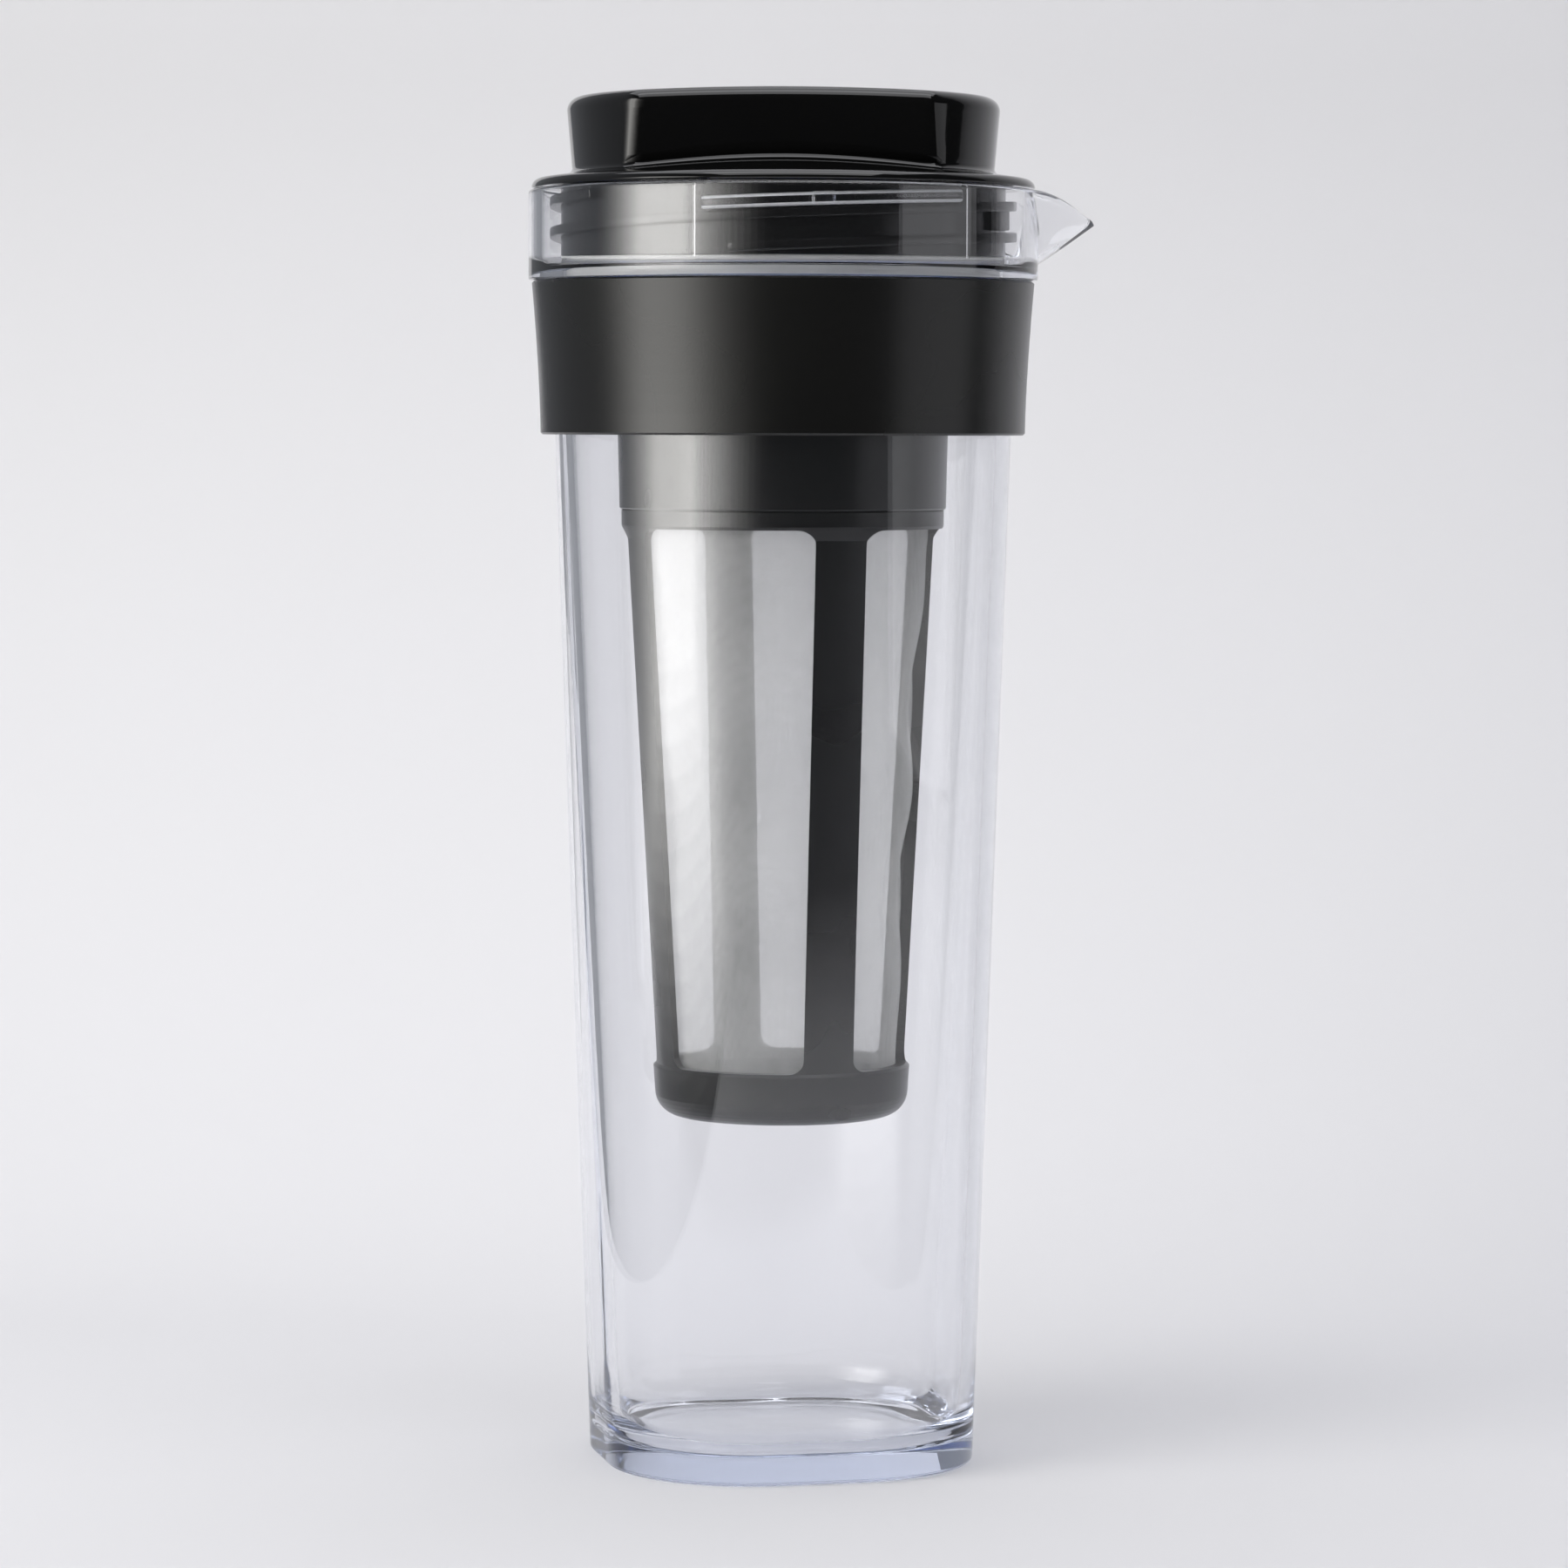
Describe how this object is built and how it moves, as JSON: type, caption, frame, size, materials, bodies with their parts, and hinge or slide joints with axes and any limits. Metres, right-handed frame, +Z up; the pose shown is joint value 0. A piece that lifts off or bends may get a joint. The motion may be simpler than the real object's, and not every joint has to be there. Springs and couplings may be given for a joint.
{
  "type": "cold brew coffee pitcher",
  "caption": "Tall clear tapered pitcher with a spouted neck, black grip band, twist-off lid with a flat-sided knob, and a mesh filter basket hung under the lid.",
  "frame": {"origin": "centre of the jug's flat base, on the jug's axis", "axes": "+Z up along the jug's axis, +X towards the spout"},
  "size_m": [0.1134, 0.1, 0.2693],
  "materials": {
    "clear_plastic": "clear polished copolyester",
    "band_black": "satin black polypropylene",
    "lid_black": "gloss black",
    "plug_black": "semi-gloss black",
    "silicone": "translucent white silicone",
    "filter_black": "satin black polypropylene",
    "mesh_white": "fine white woven polyester mesh"
  },
  "bodies": {
    "jug": {"jug_body": "clear_plastic", "grip_band": "band_black"},
    "lid_seal": {"lid_seal": "silicone"},
    "lid": {"lid_cover": "lid_black", "lid_plug": "plug_black"},
    "filter_seal": {"filter_seal": "silicone"},
    "filter": {"filter_collar": "filter_black", "filter_frame": "filter_black", "filter_mesh": "mesh_white"}
  },
  "joints": [
    {"name": "lid_lift", "type": "slide", "parent": "jug", "child": "lid_seal", "axis": [0, 0, 1], "range_m": [0, 0.2]},
    {"name": "lid_turn", "type": "hinge", "parent": "lid_seal", "child": "lid", "pos_m": [0, 0, 0.24], "axis": [0, 0, 1], "range_deg": [0, 90]},
    {"name": "filter_drop", "type": "slide", "parent": "lid", "child": "filter_seal", "axis": [0, 0, -1], "range_m": [0, 0.0061]},
    {"name": "filter_turn", "type": "hinge", "parent": "filter_seal", "child": "filter", "pos_m": [0, 0, 0.235], "axis": [0, 0, -1], "range_deg": [0, 360]}
  ],
  "couplings": [
    {"joint": "filter_drop", "follows": "filter_turn", "m_per_rad": 0.00095493}
  ]
}
